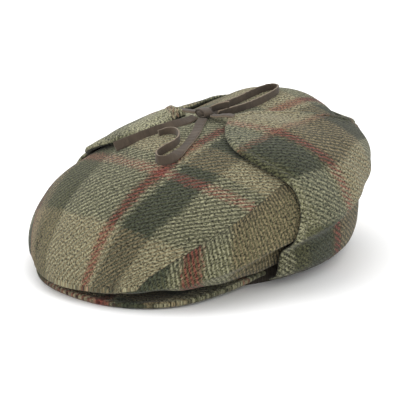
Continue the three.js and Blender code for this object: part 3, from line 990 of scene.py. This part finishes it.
def ear_flap(side):
    """A padded flap: its outside and inside stand half the thickness from the middle surface, and draw
    together round all four edges. Low lumps are the padding, and a shallow groove is the edge seam.
    The right flap's tip is thicker by a bell curve of the distance from its middle."""
    share, up = np.meshgrid(to_both_edges(FLAP_SHARES), to_both_edges(FLAP_RISES))
    half = FLAP_THICK / 2
    middle = flap_point(side, share, up, FLAP_GAP + half)
    distance = edge_distance(middle)
    hem_distance = run_length(middle, 0)
    full = rolled(distance, FLAP_ROLL)
    groove = FLAP_SEAM_DEEP * bell(distance, FLAP_SEAM_IN, FLAP_SEAM_WIDE) * smoothstep(hem_distance, 10, 30)
    lumps = 0.7 * soft_waves(middle, 42, 21) * smoothstep(distance, 3, 16)
    pucker = 0.35 * soft_waves(middle, 13, 22) * bell(distance, 6, 6)
    puff = 0.8 * smoothstep(distance, 4, 30) + lumps
    if side == "right":
        from_tip = np.hypot(middle[..., 0] - FAR_TIP[0], middle[..., 1] - FAR_TIP[1])
        puff = puff + FAR_TIP_PUFF * bell(from_tip, 0, FAR_TIP_WIDE)
    outside = flap_point(side, share, up, FLAP_GAP + half + half * full + (puff + pucker - groove) * full)
    inside = flap_point(side, share, up, FLAP_GAP + half - half * full)
    pattern = flap_lay(middle, up)
    # the inside takes the dark tweed, whose half of the rolled edge is painted shade along the flap's front
    # edge
    grids = [(outside, pattern, 0), (inside, pattern, 1)]
    name = "ear_flap_" + side
    piece = piece_from_grids("padded_" + name, grids, [FLAP_TWEEDS[side], INSIDE_TWEED_WITH_EDGE_SHADE], name)
    return piece


PEAK_LUMPS = 0.25
PEAK_SEAM_IN, PEAK_SEAM_WIDE, PEAK_SEAM_DEEP = 5.5, 0.9, 0.6  # the groove along the lip
PEAK_PATTERN = (0, 34)  # how far the peak's pattern is moved from its plan


def peak():
    """The stiff peak: a crescent in polar form round the head's centre, from the headband's ellipse to
    the lip. Its thickness rolls off at the lip, the ends and the inner edge."""
    turns = PEAK_END * (2 * to_both_edges(PEAK_TURNS) - 1)
    turn, out = np.meshgrid(turns, to_both_edges(PEAK_STEPS))
    s, c = np.sin(np.radians(turn)), np.cos(np.radians(turn))
    band_half_width, band_half_length = HEAD_HALF_WIDTH + BAND_WALL, HEAD_HALF_LENGTH + BAND_WALL
    inner = 1 / np.hypot(s / band_half_width, c / band_half_length) + TOUCH_GAP
    reach = inner + (through(PEAK_ROWS, 1, np.abs(turn)) - inner) * out
    rise = PEAK_RISE * (turn / PEAK_END) ** 2
    middle = np.stack([reach * s, HEAD_CENTRE_Y - reach * c, rise + PEAK_THICK / 2], -1)
    distance = edge_distance(middle)
    full = rolled(distance, PEAK_THICK / 2)
    lumps = PEAK_LUMPS * soft_waves(middle, 30, 31) * full
    groove = PEAK_SEAM_DEEP * bell(distance, PEAK_SEAM_IN, PEAK_SEAM_WIDE)
    up = np.array([0, 0, 1])
    top = middle + (PEAK_THICK / 2 * full + lumps - groove)[..., None] * up
    under = middle - (PEAK_THICK / 2 * full - groove * 0.6)[..., None] * up
    on_edge = (distance < ON_EDGE)[..., None]
    pattern = middle[..., :2] + PEAK_PATTERN
    grids = [(np.where(on_edge, middle, side), pattern, 0) for side in (top, under)]
    return piece_from_grids("stiff_peak", grids, [TOP_TWEED], "peak")


STITCH_DOWN, STITCH_WIDE, STITCH_DEEP = 4, 0.8, 0.5  # the sweatband's channel, below its top edge


def headband():
    """The sweatband: an upright ring whose section is a tall superellipse of power 6, with a shallow
    channel where it is stitched."""
    turn, around = np.meshgrid(
        np.linspace(0, 2 * math.pi, BAND_TURNS), np.linspace(0, 2 * math.pi, BAND_SECTION)
    )
    out = squared_off(np.cos(around), 1 / 3) * BAND_WALL / 2
    z = BAND_HEIGHT / 2 + squared_off(np.sin(around), 1 / 3) * BAND_HEIGHT / 2
    channel = STITCH_DEEP * bell(z, BAND_HEIGHT - STITCH_DOWN, STITCH_WIDE) * np.sign(np.cos(around))
    reach = BAND_WALL / 2 + out - channel
    x = (HEAD_HALF_WIDTH + reach) * np.sin(turn)
    y = HEAD_CENTRE_Y - (HEAD_HALF_LENGTH + reach) * np.cos(turn)
    grid = np.stack([x, y, z], -1)
    pattern = np.stack([turn * (HEAD_HALF_WIDTH + HEAD_HALF_LENGTH) / 2, z], -1)
    return piece_from_grids("sweatband", [(grid, pattern, 0)], [WEBBING], "headband")


# ---- Stage, in metres and watts ----
FLOOR_HALF = 15
SKY_STRENGTH = 1.35
LIT_PLACE = (0, 0, 0.05)
# name, place, size and power of each soft light
LIGHTS = [
    ("overhead light", (-0.5, 0.1, 1.6), 1.8, 7.2),
    ("front light", (-1.1, -1.5, 1.0), 1.6, 1.6),
    ("right light", (1.6, -0.3, 0.9), 1.2, 1),
]


def add_stage():
    """A wide pale floor, a soft even sky and three large soft lights that face the cap."""
    mesh = bpy.data.meshes.new("floor")
    corners = [(FLOOR_HALF * x, FLOOR_HALF * y, 0) for x, y in ((-1, -1), (1, -1), (1, 1), (-1, 1))]
    mesh.from_pydata(corners, [], [(0, 1, 2, 3)])
    mesh.materials.append(pale_floor())
    floor = bpy.data.objects.new("floor", mesh)
    bpy.context.scene.collection.objects.link(floor)
    world = bpy.data.worlds.new("studio")
    world.use_nodes = True
    sky = world.node_tree.nodes["Background"]
    sky.inputs["Color"].default_value = (1, 1, 1, 1)
    sky.inputs["Strength"].default_value = SKY_STRENGTH
    bpy.context.scene.world = world
    bpy.context.scene.view_settings.view_transform = "Standard"
    for name, place, size, power in LIGHTS:
        lamp = bpy.data.lights.new(name, "AREA")
        lamp.shape, lamp.size, lamp.energy = "DISK", size, power
        light = bpy.data.objects.new(name, lamp)
        light.location = place
        facing = Vector(LIT_PLACE) - Vector(place)
        light.rotation_euler = facing.to_track_quat("-Z", "Y").to_euler()
        bpy.context.scene.collection.objects.link(light)


add_camera()
add_laces()
headband()
top_panel()
for side_name in ("left", "right"):
    side_panel(side_name)
    ear_flap(side_name)
peak()
add_stage()
